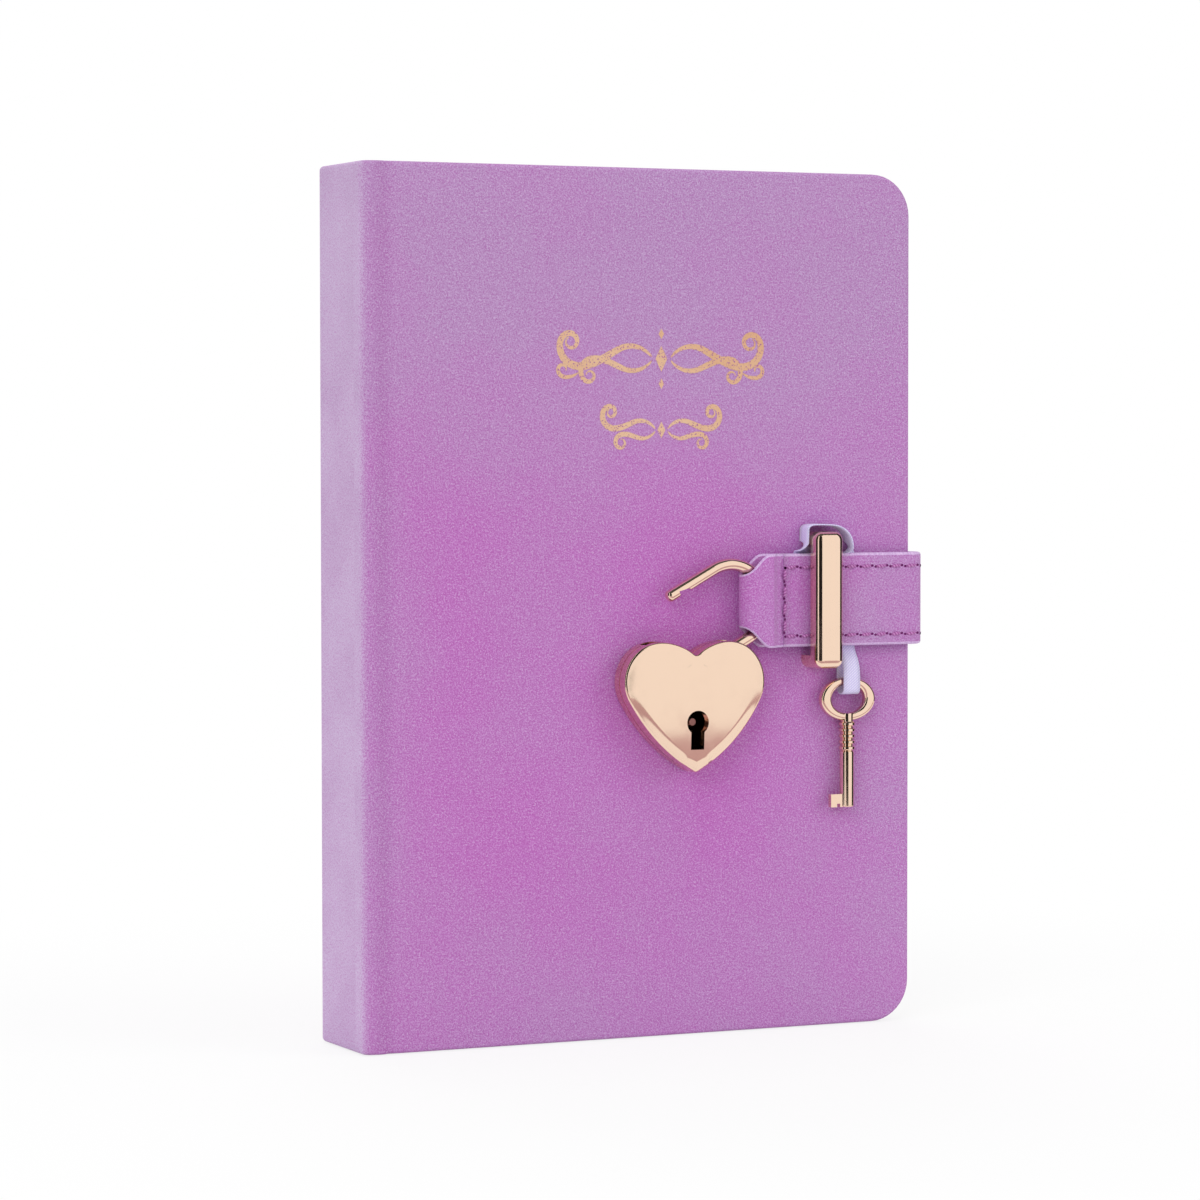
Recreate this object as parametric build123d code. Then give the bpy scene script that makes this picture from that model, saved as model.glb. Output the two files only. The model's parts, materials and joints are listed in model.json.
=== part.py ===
from build123d import *
import os
from math import cos, hypot, radians, sin, sqrt

# Diary with lock, in millimetres. It stands upright: X runs from the spine to the fore-edge,
# Y runs from the front cover into the book, and Z is up. The model is drawn with the spine at
# X 0 and the front cover's face at Y 0, and moved to its origin when it is written. A depth is
# a distance in front of that face.

# Covers and spine
book_height = 196.0
book_width = 136.5
book_thickness = 27.0
corner_radius = 9.5
skin = 0.6
board = 2.4
turn_in = 14.0
edge_round = 1.0
hinge_setback = 5.0
joint_gap = 0.3
spine_board = 2.0
spine_round = 2.5

# Paper
square = 3.2
paper = 0.2
leaf_gap = 0.15
leaf_count = 2
leaf_inset = 0.4
section_count = 12
round_share = 0.45
lining = 0.5
lining_margin = 6.0
band_width = 2.2
band_height = 1.4

# Keeper on the front cover
keeper_setback = 28.3
keeper_width = 7.4
keeper_bar = 3.0
keeper_clearance = 2.0
keeper_gap = 1.1
keeper_corner = 2.0
keeper_land = 0.1
keeper_pin = 1.2
washer_radius = 2.6
washer = 0.6

# Ribbon
ribbon_width = 4.2
ribbon = 0.3
ribbon_play = 0.4
ribbon_clearance = 0.3
ribbon_hug = 0.4
ribbon_slack = 1.2
ribbon_reach = 3.9
twist_steps = 3
ribbon_bend_share = 0.7
ribbon_offset = 0.4
ribbon_tuck = 3.0

# Strap
strap_width = 21.3
strap_centre = 98.35
ply = 1.2
wrap_gap = 0.25
tail_length = 42.0
tail_round = 4.0
loop_lead = 16.8
loop_half = 5.3
loop_lift = 0.45
loop_clearance = 0.3
stitch_margin = 3.1
loop_bend = 3.0
shoulder = 6.0
shoulder_sag = 0.9

# Shackle
rod = 2.7
shackle_span = 18.0
pivot_leg = 6.2
free_leg = 13.4
open_angle = 62.0
crown_setback = 3.1
crown_drop = 0.59
eye_radius = 1.75
shackle_pin = 0.9
running_clearance = 0.08
slot_clearance = 0.3
catch_from_tip = 2.9
catch_length = 3.4
catch_depth = 1.5
catch_lift = 0.95
catch_ramp = 0.8
tip_round = 1.0

# Padlock body
heart_lobe = 9.0
heart_lobe_offset = 8.6
heart_lobe_height = 20.6
heart_notch_height = 26.4
heart_side = 40.0
heart_tip_round = 1.0
heart_notch_round = 0.7
pivot_inset = 2.7
lock_behind_rod = 2.9
lock_before_rod = 3.0
lock_dome = 1.2
lock_edge_land = 0.4
shell_wall = 0.7
shell_face = 0.8
shell_seam = 0.12
keyhole_height = 11.4
keyhole_radius = 2.7
keyhole_slot = 3.3
keyhole_drop = 6.1
key_post = 0.8
key_post_recess = 2.9
shell_post = 0.9
shell_post_side = 12.2
shell_post_height = 17.5
shell_post_low = 3.4
pin_seat = 0.4

# Latch and springs
latch_pin = 0.7
latch_setback = 3.4
latch_pin_height = 16.6
latch_thickness = 1.8
latch_hub = 1.5
latch_end = 0.8
latch_arm_gap = 0.65
nose_reach = 0.5
nose_height = 2.0
nose_clearance = 0.3
latch_tail_drop = 6.2
latch_tail_lead = 1.1
spring_wire = 0.4
spring_radius = 1.35
spring_leg = 3.0
spring_lift = 0.05

# Key
key_lead = 10.6
key_drop = 7.25
key_gap = 0.45
bow_width = 14.1
bow_height = 10.1
eye_width = 8.6
eye_height = 6.6
bow_thickness = 2.2
bow_land = 0.15
collar_length = 6.9
collar_radius = 1.85
collar_groove = 0.4
collar_beads = 5
bead_share = 0.8
bead_edge = 0.3
stem_length = 12.9
stem_radius = 1.65
stem_round = 0.3
key_bore_depth = 6.0
bit_reach = 4.4
bit_height = 3.0
bit_thickness = 1.3
bit_notch = 0.8

# Places and sizes that follow from the driving ones: the book
cover = skin + board
cover_left = hinge_setback + joint_gap / 2
pages_right = book_width - square
page_corner = corner_radius - square
leaf_left = hinge_setback + leaf_inset
leaf_pitch = paper + leaf_gap
first_leaf = cover + paper + leaf_gap
block_front = first_leaf + (leaf_count + 1) * leaf_pitch
block_back = book_thickness - cover - 2 * paper
block_left = skin + spine_board + lining
section = (block_back - block_front) / section_count

# The strap, its loop and the keeper
strap_thickness = 2 * ply
strap_lift = 2 * ribbon + ribbon_play
strap_front = strap_lift + strap_thickness
strap_bottom = strap_centre - strap_width / 2
strap_top = strap_centre + strap_width / 2
strap_inside = book_width + wrap_gap
strap_outside = strap_inside + strap_thickness
strap_split = book_thickness - cover
keeper_left = book_width - keeper_setback
keeper_right = keeper_left + keeper_width
keeper_middle = keeper_left + keeper_width / 2
keeper_height = strap_width + 2 * (keeper_clearance + keeper_bar)
keeper_rise = strap_front + keeper_gap + keeper_bar
keeper_round = keeper_corner - keeper_land
keeper_bottom = strap_centre - keeper_height / 2
keeper_top = strap_centre + keeper_height / 2
keeper_pins = [keeper_bottom + keeper_bar / 2, keeper_top - keeper_bar / 2]
loop_end = keeper_left - loop_lead
tunnel_half = rod / 2 + loop_clearance
rod_depth = loop_lift + ply + tunnel_half
ribbon_edge_depth = ribbon_clearance + ribbon_width / 2
ribbon_twist = keeper_clearance - ribbon_clearance

# The padlock, which hangs by its shackle's crown in the loop
crown_radius = shackle_span / 2
crown_x = loop_end - crown_setback
crown_z = strap_centre - crown_drop
swing = radians(open_angle)
pivot_x = crown_x + crown_radius * cos(swing) - pivot_leg * sin(swing)
pivot_z = crown_z - crown_radius * sin(swing) - pivot_leg * cos(swing)
heart_top = heart_lobe_height + heart_lobe
pivot_height = heart_top - pivot_inset
heart_x = pivot_x - crown_radius
heart_z = pivot_z - pivot_height
lock_back = rod_depth - lock_behind_rod
lock_rim = rod_depth + lock_before_rod
lock_front = lock_rim + lock_dome
lock_edge_round = heart_tip_round - lock_edge_land
pocket_back = lock_back + shell_face
pocket_front = lock_rim - shell_face
free_tip = pivot_height + pivot_leg - free_leg
loop_full = crown_x + crown_radius + rod / 2
stitch_line = loop_full + stitch_margin

# The latch, from the middle of the heart
latch_x = latch_setback - crown_radius
nose_x = rod / 2 - nose_reach - crown_radius
nose_z = free_tip + catch_from_tip + nose_clearance
arm_x = rod / 2 + latch_arm_gap + latch_end - crown_radius

# The key, which hangs from the ribbon
standing = (Align.CENTER, Align.CENTER, Align.MIN)
neck_radius = collar_radius - collar_groove
key_x = keeper_left + key_lead
key_depth = collar_radius + key_gap
bow_wall = min(bow_width - eye_width, bow_height - eye_height) / 2
bow_round = (min(bow_wall, bow_thickness) - bow_land) / 2
bow_top = strap_bottom - key_drop
bow_z = bow_top - bow_height / 2
collar_top = bow_top - bow_height
collar_foot = collar_top - collar_length
key_tip = collar_foot - stem_length

origin_x = strap_outside / 2
origin_y = (book_thickness + strap_thickness - max(lock_front, keeper_rise)) / 2


def slab(outline, near, far):
    # An outline of the front view, from one Y to another.
    return extrude(Plane.XZ.offset(-near) * outline, amount=far - near, dir=(0, 1, 0))


def raised(outline, low, high):
    # An outline of the front view, from one depth to another.
    return slab(outline, -high, -low)


def upright(outline, bottom, top):
    # An outline of the plan, from one height to another.
    return extrude(Plane.XY.offset(bottom) * outline, amount=top - bottom, dir=(0, 0, 1))


def page_outline(left, right, margin, radius):
    # A leaf or board: square at the spine, round at the two fore-edge corners.
    height = book_height - 2 * margin
    sheet = Pos((left + right) / 2, book_height / 2) * Rectangle(right - left, height)
    return fillet(sheet.vertices().group_by(Axis.X)[-1], radius)


def plan_strip(left, width):
    # The plan of something that runs across the back of the sewn sections.
    depth = block_back - block_front
    return Pos(left + width / 2, block_front + depth / 2) * Rectangle(width, depth)


def leaf(left, near):
    return slab(page_outline(left, pages_right, square, page_corner), near, near + paper)


def cover_board():
    core = page_outline(cover_left, book_width - skin, skin, corner_radius - skin)
    middle = page_outline(cover_left, book_width - turn_in, turn_in, edge_round)
    rebate = slab(core, cover - skin, cover) - slab(middle, cover - skin, cover)
    return slab(core, skin, cover) - rebate


def cover_skin():
    whole = slab(page_outline(cover_left, book_width, 0, corner_radius), 0, cover)
    rim = whole.faces().sort_by(Axis.Y)[0].edges()
    rim = rim.filter_by(lambda edge: edge.center().X > cover_left + joint_gap)
    return fillet(rim, edge_round) - cover_board()


def to_back(shape):
    return mirror(shape, Plane.XZ.offset(-book_thickness / 2))


def washer_disc(z):
    return slab(Pos(keeper_middle, z) * Circle(washer_radius), cover - washer, cover)


def keeper_stem(z):
    return slab(Pos(keeper_middle, z) * Circle(keeper_pin), 0, cover)


def front_board():
    holes = [keeper_stem(z) for z in keeper_pins] + [washer_disc(z) for z in keeper_pins]
    return cover_board() - holes


def front_cover_skin():
    return cover_skin() - [keeper_stem(z) for z in keeper_pins]


def keeper_washers():
    return Compound(children=[washer_disc(z) - keeper_stem(z) for z in keeper_pins])


def keeper():
    front = Pos(keeper_middle, strap_centre) * RectangleRounded(keeper_width, keeper_height, keeper_corner)
    window = Pos(keeper_middle, strap_centre) * Rectangle(keeper_width, keeper_height - 2 * keeper_bar)
    block = raised(front, 0, keeper_rise)
    block = fillet(block.faces().sort_by(Axis.Y)[0].edges(), keeper_round)
    staple = block - raised(window, 0, keeper_rise - keeper_bar)
    return staple + [keeper_stem(z) for z in keeper_pins]


def spine_outline(inset):
    width = hinge_setback - joint_gap / 2 - inset
    depth = book_thickness - 2 * inset
    block = Pos(inset + width / 2, book_thickness / 2) * Rectangle(width, depth)
    return fillet(block.vertices().group_by(Axis.X)[0], spine_round - inset)


def spine_stiffener():
    reach = Pos(skin + spine_board / 2, book_thickness / 2) * Rectangle(spine_board, book_thickness)
    return upright(spine_outline(skin) & reach, skin, book_height - skin)


def spine_skin():
    wrap = upright(spine_outline(0), 0, book_height)
    hollow = Pos(skin + spine_board + hinge_setback / 2, book_thickness / 2)
    hollow = hollow * Rectangle(hinge_setback, book_thickness - 2 * skin)
    return wrap - upright(hollow, 0, book_height) - spine_stiffener()


def spine_lining():
    margin = square + lining_margin
    return upright(plan_strip(block_left - lining, lining), margin, book_height - margin)


def paper_section(index):
    near = block_front + index * section
    outline = page_outline(block_left, pages_right, square, page_corner)
    stack = slab(outline, near, near + section)
    folds = stack.edges().filter_by(Axis.Z).group_by(Axis.X)[0]
    return fillet(folds, round_share * section)


def end_band(bottom):
    band = upright(plan_strip(block_left, band_width), bottom, bottom + band_height)
    return fillet(band.edges().filter_by(Axis.Y), round_share * band_height)


def strap_tail():
    # The fixed end lies on the back cover and turns the fore-edge corner.
    back = book_thickness + strap_thickness
    end = book_width - tail_length
    route = FilletPolyline(
        (strap_inside, strap_split), (strap_outside, strap_split), (strap_outside, back), (end, back),
        (end, book_thickness), (strap_inside, book_thickness),
        radius=[0, 0, strap_thickness + wrap_gap, 0, 0, wrap_gap], close=True,
    )
    tail = upright(make_face(route), strap_bottom, strap_top)
    return fillet(tail.edges().filter_by(Axis.Y).group_by(Axis.X)[0], tail_round)


def strap_plan():
    # The free end from above: round the fore-edge, along the cover, out and back as a loop.
    front = rod_depth + tunnel_half + ply
    fold = front - loop_lift
    settle = stitch_line + ply / 2
    return FilletPolyline(
        (strap_outside, strap_split), (strap_outside, -strap_front), (settle, -strap_front),
        (loop_full + ply / 2, -front), (loop_end, -front), (loop_end, -loop_lift),
        (loop_full, -loop_lift), (settle, -strap_lift), (strap_inside, -strap_lift),
        (strap_inside, strap_split),
        radius=[0, strap_thickness + wrap_gap, loop_bend, loop_bend, round_share * fold,
                round_share * fold, loop_bend, loop_bend, wrap_gap, 0],
        close=True,
    )


def tunnel_plan():
    # The space inside the loop, from above.
    low = rod_depth - tunnel_half
    high = rod_depth + tunnel_half
    turn = round_share * (high - low)
    return FilletPolyline(
        (stitch_line, -strap_lift - ply), (loop_full, -high), (loop_end + ply, -high),
        (loop_end + ply, -low), (loop_full, -low),
        radius=[0, turn, turn, turn, turn], close=True,
    )


def shoulder_cut():
    # The hollow that narrows the strap's upper edge to the loop's end.
    end = Vector(loop_end, strap_centre + loop_half)
    edge = Vector(loop_end + shoulder, strap_top)
    across = (edge - end).normalized()
    middle = (end + edge) * 0.5 + Vector(across.Y, -across.X) * shoulder_sag
    far = Vector(loop_end - ply, strap_top + ply)
    corner = Polyline(edge, (edge.X, far.Y), far, (far.X, end.Y), end)
    return raised(make_face([corner, ThreePointArc(end, middle, edge)]), 0, lock_front)


def strap_tongue():
    tongue = upright(make_face(strap_plan()), strap_bottom, strap_top)
    tongue -= upright(make_face(tunnel_plan()), strap_bottom, strap_top)
    upper = shoulder_cut()
    return tongue - upper - mirror(upper, Plane.XY.offset(strap_centre))


def shackle():
    # Drawn closed, with its pin at the origin, then swung open.
    top = Line((0, 0), (0, pivot_leg))
    crown = CenterArc((-crown_radius, pivot_leg), crown_radius, 0, 180)
    free = Line((-shackle_span, pivot_leg), (-shackle_span, pivot_leg - free_leg))
    path = Plane.XZ * (top + crown + free)
    bar = sweep(Plane.XY * Circle(rod / 2), path)
    end = bar.edges().filter_by(GeomType.CIRCLE).sort_by(Axis.Z)[0]
    bar = fillet(end, tip_round)
    catch_x = rod / 2 - shackle_span
    catch_z = pivot_leg - free_leg + catch_from_tip
    catch = Polygon((catch_depth, 0), (-catch_depth, 0), (-catch_lift, catch_length - catch_ramp),
                    (0, catch_length), (catch_depth, catch_length), align=None)
    bar = bar + slab(Circle(eye_radius), -rod / 2, rod / 2) - slab(Pos(catch_x, catch_z) * catch, -rod, rod)
    bar -= slab(Circle(shackle_pin + running_clearance), -rod, rod)
    return Pos(pivot_x, -rod_depth, pivot_z) * Rot(0, open_angle, 0) * bar


def heart_outline():
    # Each side is an arc from the tip that runs smoothly into its lobe.
    lobe = Vector(heart_lobe_offset, heart_lobe_height)
    axis = lobe.normalized()
    along = (lobe.length ** 2 + 2 * heart_side * heart_lobe - heart_lobe ** 2) / (2 * lobe.length)
    centre = axis * along + Vector(-axis.Y, axis.X) * sqrt(heart_side ** 2 - along ** 2)
    join = centre + (lobe - centre).normalized() * heart_side
    lobe_top = (heart_lobe_offset, heart_top)
    side = TangentArc((0, 0), join, tangent=(centre.Y, -centre.X))
    outer = TangentArc(join, lobe_top, tangent=side % 1)
    inner = TangentArc(lobe_top, (0, heart_notch_height), tangent=(-1, 0))
    half = side + outer + inner
    heart = make_face(half + mirror(half, Plane.YZ))
    middle = heart.vertices().filter_by(lambda point: abs(point.X) < heart_notch_round / 2)
    heart = fillet(middle.sort_by(Axis.Y)[0], heart_tip_round)
    return fillet(heart.vertices().sort_by(lambda point: hypot(point.X, point.Y - heart_notch_height))[0],
                  heart_notch_round)


def on_lock(outline):
    return Pos(heart_x, heart_z) * outline


def lock_pins():
    # Each pin's radius, its place on the heart and the depth of its front end.
    seat_end = pocket_front + pin_seat
    return {
        "shackle_pin": [(shackle_pin, crown_radius, pivot_height, seat_end)],
        "latch_pin": [(latch_pin, latch_x, latch_pin_height, seat_end)],
        "key_post": [(key_post, 0, keyhole_height, lock_front - key_post_recess)],
        "shell_posts": [
            (shell_post, -shell_post_side, shell_post_height, seat_end),
            (shell_post, shell_post_side, shell_post_height, seat_end),
            (shell_post, 0, shell_post_low, seat_end),
        ],
    }


def lock_pin(name):
    pins = []
    for radius, x, z, end in lock_pins()[name]:
        pins.append(raised(on_lock(Pos(x, z) * Circle(radius)), pocket_back - pin_seat, end))
    return pins[0] if len(pins) == 1 else Compound(children=pins)


def shackle_slots():
    # Where the free leg drops into one lobe and the pivot leg swings in the other.
    half = rod / 2 + slot_clearance
    reach = hypot(shackle_span + rod / 2, free_leg - pivot_leg) + slot_clearance
    ring = Circle(reach) - Circle(shackle_span - half)
    entry = ring & Polygon((0, 0), (-2 * reach, -reach / 2), (-2 * reach, 2 * reach), align=None)
    leg = Pos(shackle_span / 4, 0) * Rectangle(shackle_span / 2, 2 * half)
    closed = Rot(0, 0, 90) * leg
    opened = Rot(0, 0, 90 - open_angle) * leg
    between = Polygon((0, 0), (0, crown_radius), (crown_radius * sin(swing), crown_radius * cos(swing)),
                      align=None)
    slots = Pos(crown_radius, pivot_height) * (entry + closed + opened + between)
    return raised(on_lock(slots), rod_depth - half, rod_depth + half)


def shell(low, high, pocket_low, pocket_high):
    outline = heart_outline()
    body = raised(on_lock(outline), low, high)
    return body - raised(on_lock(offset(outline, -shell_wall)), pocket_low, pocket_high)


def lock_openings():
    # The fine groove where the shells meet, the shackle's slots and the pin holes.
    rim = heart_outline() - offset(heart_outline(), -shell_seam)
    seam = raised(on_lock(rim), rod_depth - shell_seam, rod_depth + shell_seam)
    return [seam, shackle_slots()] + [lock_pin(name) for name in lock_pins()]


def lock_back_shell():
    body = shell(lock_back, rod_depth, pocket_back, rod_depth)
    body = chamfer(body.faces().sort_by(Axis.Y)[-1].edges(), round_share * shell_face)
    return body - lock_openings()


def lock_front_shell():
    half_width = heart_lobe_offset + heart_lobe
    dome_radius = (half_width ** 2 + lock_dome ** 2) / (2 * lock_dome)
    dome = Pos(heart_x, dome_radius - lock_front, heart_z + heart_top / 2) * Sphere(dome_radius)
    body = raised(on_lock(heart_outline()), rod_depth, lock_front) & dome
    face = body.faces().sort_by(Axis.Y)[0]
    body = fillet(face.edges(), lock_edge_round)
    pocket = raised(on_lock(offset(heart_outline(), -shell_wall)), rod_depth, pocket_front)
    slot = Pos(0, -keyhole_drop / 2) * Rectangle(keyhole_slot, keyhole_drop)
    keyhole = Pos(0, keyhole_height) * (Circle(keyhole_radius) + slot)
    return body - pocket - raised(on_lock(keyhole), rod_depth, lock_front) - lock_openings()


def arm(start, start_radius, end, end_radius):
    ends = Pos(*start) * Circle(start_radius) + Pos(*end) * Circle(end_radius)
    return make_hull(ends.edges())


def latch():
    hub = (latch_x, latch_pin_height)
    nose_middle = nose_z + nose_height / 2
    upper = arm(hub, latch_hub, (arm_x, nose_middle), latch_end)
    lower = arm(hub, latch_hub, (latch_x + latch_tail_lead, latch_pin_height - latch_tail_drop), latch_end)
    nose = Pos((nose_x + arm_x) / 2, nose_middle) * Rectangle(arm_x - nose_x, nose_height)
    nose = fillet(nose.vertices().group_by(Axis.X)[0], round_share * nose_reach)
    hole = Pos(*hub) * Circle(latch_pin + running_clearance)
    half = latch_thickness / 2
    return raised(on_lock(upper + lower + nose - hole), rod_depth - half, rod_depth + half)


def hairpin_spring(x, z):
    arch = CenterArc((x, z), spring_radius, 0, 180)
    legs = [Line((x + side, z - spring_leg), (x + side, z)) for side in (spring_radius, -spring_radius)]
    depth = pocket_back + spring_lift + spring_wire / 2
    path = Plane.XZ.offset(depth) * on_lock(legs[0] + arch + legs[1])
    return sweep(Plane(path @ 0, z_dir=path % 0) * Rectangle(spring_wire, spring_wire), path)


def key_collar():
    pitch = collar_length / collar_beads
    core = Cylinder(neck_radius, collar_length, align=standing)
    bead = Cylinder(collar_radius, bead_share * pitch)
    bead = chamfer(bead.edges().filter_by(GeomType.CIRCLE), bead_edge)
    return core + [Pos(0, 0, (index + 0.5) * pitch) * bead for index in range(collar_beads)]


def key_bow():
    ring = Ellipse(bow_width / 2, bow_height / 2) - Ellipse(eye_width / 2, eye_height / 2)
    half = bow_thickness / 2
    bow = raised(Pos(key_x, bow_z) * ring, key_depth - half, key_depth + half)
    faces = bow.faces().sort_by(Axis.Y)
    return fillet(faces[0].edges() + faces[-1].edges(), bow_round)


def key():
    stem = Cylinder(stem_radius, stem_length, align=standing)
    stem = fillet(stem.edges().filter_by(GeomType.CIRCLE), stem_round)
    shank = stem + Pos(0, 0, stem_length - stem_round) * Cylinder(neck_radius, stem_round, align=standing)
    shank += Pos(0, 0, stem_length) * key_collar()
    neck = Cylinder(neck_radius, (bow_height - eye_height) / 2, align=standing)
    shank += Pos(0, 0, stem_length + collar_length) * neck
    bit = Pos(-bit_reach / 2, 0, bit_height / 2) * Box(bit_reach, bit_thickness, bit_height)
    bit -= Pos(-stem_radius - bit_notch, 0, 0) * Box(bit_notch, bit_thickness, 2 * bit_notch)
    shank = shank + bit - Cylinder(key_post + running_clearance, key_bore_depth, align=standing)
    return Pos(key_x, -key_depth, key_tip) * shank + key_bow()


def ribbon_run(path, across):
    profile = Plane(path @ 0, x_dir=across, z_dir=path % 0) * Rectangle(ribbon_width, ribbon)
    return sweep(profile, path)


def ribbon_twist_piece(x, flat_depth, bottom):
    # A quarter turn, from standing on edge to lying flat, in equal steps.
    turns = []
    for step in range(twist_steps + 1):
        share = step / twist_steps
        lean = 90 * (1 - share)
        depth = flat_depth + (ribbon_edge_depth - flat_depth) * sin(radians(lean))
        place = Pos(x, -depth, bottom + ribbon_twist * (1 - share)) * Rot(0, 0, lean)
        turns.append(place * Rectangle(ribbon_width, ribbon))
    return loft(turns, ruled=True)


def ribbon_loop(left, right, foot):
    # Round the keeper's top leg, standing on edge.
    top = keeper_top + ribbon_slack
    bend = ribbon_bend_share * (top - foot)
    route = FilletPolyline(
        (left, foot), (left, top), (keeper_right + ribbon_slack, top), (right, foot + bend / 2),
        (right, foot), radius=[ribbon_hug + ribbon_slack, bend, bend / 2],
    )
    return ribbon_run(Plane.XZ.offset(ribbon_edge_depth) * route, (0, 1, 0))


def ribbon_flat(x, top, drop_x, bottom, depth):
    # Under the strap, between it and the cover.
    half = ribbon_width / 2
    outline = Polygon((x - half, top), (x + half, top), (drop_x + half, bottom), (drop_x - half, bottom),
                      align=None)
    return raised(outline, depth - ribbon / 2, depth + ribbon / 2)


def ribbon_drop(drop_x, tuck, back_depth, front_depth):
    # Down from the strap, through the key's bow from the front, and up again behind.
    gap = bow_thickness / 2 + ribbon_clearance + ribbon / 2
    side = drop_x - key_x + ribbon_width / 2
    eye_top = bow_z + eye_height / 2 * sqrt(1 - (2 * side / eye_width) ** 2)
    bottom = eye_top - ribbon_clearance - ribbon / 2
    leave = strap_bottom - ribbon_clearance
    meet = bow_top + ribbon_clearance
    turn = round_share * 2 * gap
    route = FilletPolyline(
        (-front_depth, tuck), (-front_depth, leave), (-key_depth - gap, meet), (-key_depth - gap, bottom),
        (gap - key_depth, bottom), (gap - key_depth, meet), (-back_depth, leave), (-back_depth, tuck),
        radius=[turn, turn, turn, turn, turn, turn],
    )
    return ribbon_run(Plane.YZ.offset(drop_x) * route, (1, 0, 0))


def ribbon_piece():
    back_depth = ribbon_play / 4 + ribbon / 2
    front_depth = back_depth + ribbon + ribbon_play / 4
    left = keeper_left - ribbon_hug
    right = keeper_right + ribbon_reach
    flat_top = strap_top + ribbon_clearance
    foot = flat_top + ribbon_twist
    drop_x = key_x + ribbon_offset
    tuck = strap_bottom + ribbon_tuck
    pieces = [
        ribbon_twist_piece(left, back_depth, flat_top),
        ribbon_twist_piece(right, front_depth, flat_top),
        ribbon_flat(left, flat_top, drop_x, tuck, back_depth),
        ribbon_flat(right, flat_top, drop_x, tuck, front_depth),
        ribbon_drop(drop_x, tuck, back_depth, front_depth),
    ]
    return ribbon_loop(left, right, foot) + pieces


def write_parts():
    os.makedirs("parts", exist_ok=True)
    parts = {
        "front_board": front_board(),
        "front_cover_skin": front_cover_skin(),
        "front_pastedown": leaf(cover_left, cover),
        "keeper": keeper(),
        "keeper_washers": keeper_washers(),
        "ribbon": ribbon_piece(),
        "front_flyleaf": leaf(leaf_left, first_leaf),
        "back_board": to_back(cover_board()),
        "back_cover_skin": to_back(cover_skin()),
        "back_pastedown": to_back(leaf(cover_left, cover)),
        "back_flyleaf": to_back(leaf(block_left, cover + paper)),
        "spine_board": spine_stiffener(),
        "spine_skin": spine_skin(),
        "spine_lining": spine_lining(),
        "headband": end_band(book_height - square),
        "tailband": end_band(square - band_height),
        "strap_tail": strap_tail(),
        "strap_tongue": strap_tongue(),
        "shackle": shackle(),
        "lock_front_shell": lock_front_shell(),
        "lock_back_shell": lock_back_shell(),
        "shackle_spring": hairpin_spring(crown_radius, pivot_height),
        "latch": latch(),
        "latch_spring": hairpin_spring(latch_x, latch_pin_height),
        "key": key(),
    }
    for name in lock_pins():
        parts[name] = lock_pin(name)
    for index in range(leaf_count):
        parts[f"leaf_{index + 1}"] = leaf(leaf_left, first_leaf + (index + 1) * leaf_pitch)
    for index in range(section_count):
        parts[f"section_{index + 1:02d}"] = paper_section(index)
    for name, shape in parts.items():
        export_step(Pos(-origin_x, -origin_y, 0) * shape, f"parts/{name}.step")


write_parts()
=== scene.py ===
import bpy
import json
import math
from mathutils import Matrix, Vector


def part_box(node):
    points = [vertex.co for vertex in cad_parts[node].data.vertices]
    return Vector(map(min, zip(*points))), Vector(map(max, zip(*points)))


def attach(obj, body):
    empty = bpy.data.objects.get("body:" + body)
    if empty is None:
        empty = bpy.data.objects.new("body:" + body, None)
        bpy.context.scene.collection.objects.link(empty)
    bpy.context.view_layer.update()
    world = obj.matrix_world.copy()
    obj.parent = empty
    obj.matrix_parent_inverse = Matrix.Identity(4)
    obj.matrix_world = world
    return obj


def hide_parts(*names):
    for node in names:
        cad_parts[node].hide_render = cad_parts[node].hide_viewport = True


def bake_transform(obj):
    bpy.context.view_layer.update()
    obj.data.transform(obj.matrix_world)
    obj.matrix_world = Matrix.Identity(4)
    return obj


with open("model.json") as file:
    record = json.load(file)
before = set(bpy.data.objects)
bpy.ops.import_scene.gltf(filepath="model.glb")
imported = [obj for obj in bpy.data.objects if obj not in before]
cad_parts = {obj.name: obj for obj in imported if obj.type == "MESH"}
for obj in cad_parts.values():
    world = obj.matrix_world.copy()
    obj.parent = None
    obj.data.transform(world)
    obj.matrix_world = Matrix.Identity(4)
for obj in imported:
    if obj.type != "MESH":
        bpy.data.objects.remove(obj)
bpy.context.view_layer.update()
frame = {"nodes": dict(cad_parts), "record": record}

mm = 0.001
book = {"width": 136.5, "height": 196.0, "thickness": 27.0, "corner": 9.5, "cover": 3.0, "spineRound": 2.5}
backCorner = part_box("back_cover_skin")[1]
bookOrigin = Vector((book["width"] * mm - backCorner.x, book["thickness"] * mm - backCorner.y, 0.0))


# a place on the book in millimetres: from the spine, behind the front face, up from the table
def onBook(x, y, z):
    return Vector((x, y, z)) * mm - bookOrigin


def fromScreen(red, green, blue):  # a colour as a screen shows it, 0 to 255
    levels = [value / 255 for value in (red, green, blue)]
    return tuple(v / 12.92 if v <= 0.04045 else ((v + 0.055) / 1.055) ** 2.4 for v in levels) + (1.0,)


def smoothStep(low, high, value):
    share = min(max((value - low) / (high - low), 0.0), 1.0)
    return share * share * (3 - 2 * share)


# shader node helpers
def setSocket(tree, socket, value):
    if isinstance(value, bpy.types.NodeSocket):
        tree.links.new(value, socket)
    else:
        socket.default_value = value


def addNode(tree, kind, inputs=None, **settings):
    node = tree.nodes.new("ShaderNode" + kind)
    for name, value in settings.items():
        setattr(node, name, value)
    for name, value in (inputs or {}).items():
        setSocket(tree, node.inputs[name], value)
    return node


def mathNode(tree, operation, first, second=0.0):
    return addNode(tree, "Math", {0: first, 1: second}, operation=operation).outputs[0]


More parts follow.
